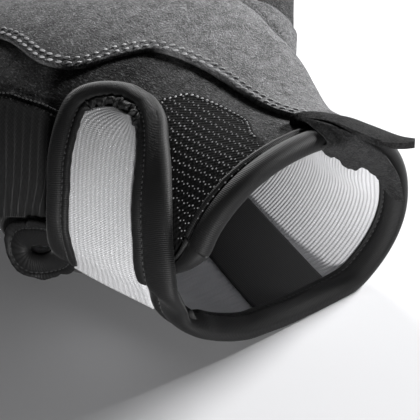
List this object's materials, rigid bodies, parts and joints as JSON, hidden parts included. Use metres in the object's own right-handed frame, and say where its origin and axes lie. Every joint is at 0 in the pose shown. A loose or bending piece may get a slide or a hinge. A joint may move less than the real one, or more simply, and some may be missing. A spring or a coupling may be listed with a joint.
{
  "type": "motocross glove",
  "caption": "Right-hand off-road riding glove lying palm up, with a suede palm, taped cuff, elastic wrist lining and a closure strap.",
  "frame": {"origin": "on the floor under the middle of the glove's outline", "axes": "+Y towards the fingertips, +X towards the thumb, +Z out of the palm"},
  "size_m": [0.1452, 0.2119, 0.051],
  "materials": {
    "suede_dark": "matte napped suede",
    "suede_pale": "matte mottled suede",
    "knit_black": "matte stretch knit",
    "rib_black": "ribbed stretch fabric",
    "mesh_black": "woven mesh with light dots",
    "tape_black": "ribbed binding tape, slight sheen",
    "elastic_white": "matte knitted elastic",
    "label_black": "satin woven label"
  },
  "bodies": {
    "root": {"palm_shell": "suede_dark", "back_shell": "knit_black", "rib_panel": "rib_black", "mesh_patch": "mesh_black", "palm_overlay": "suede_pale", "elastic_lining": "elastic_white", "inner_label": "label_black", "wrist_strap": "elastic_white", "strap_binding": "tape_black", "cuff_binding": "tape_black", "slit_binding": "tape_black", "pull_tab": "suede_dark", "index_front": "suede_dark", "index_back": "knit_black", "middle_front": "suede_dark", "middle_back": "knit_black", "ring_front": "suede_dark", "ring_back": "knit_black", "little_front": "suede_dark", "little_back": "knit_black", "thumb_front": "suede_dark", "thumb_back": "knit_black"}
  },
  "joints": []
}
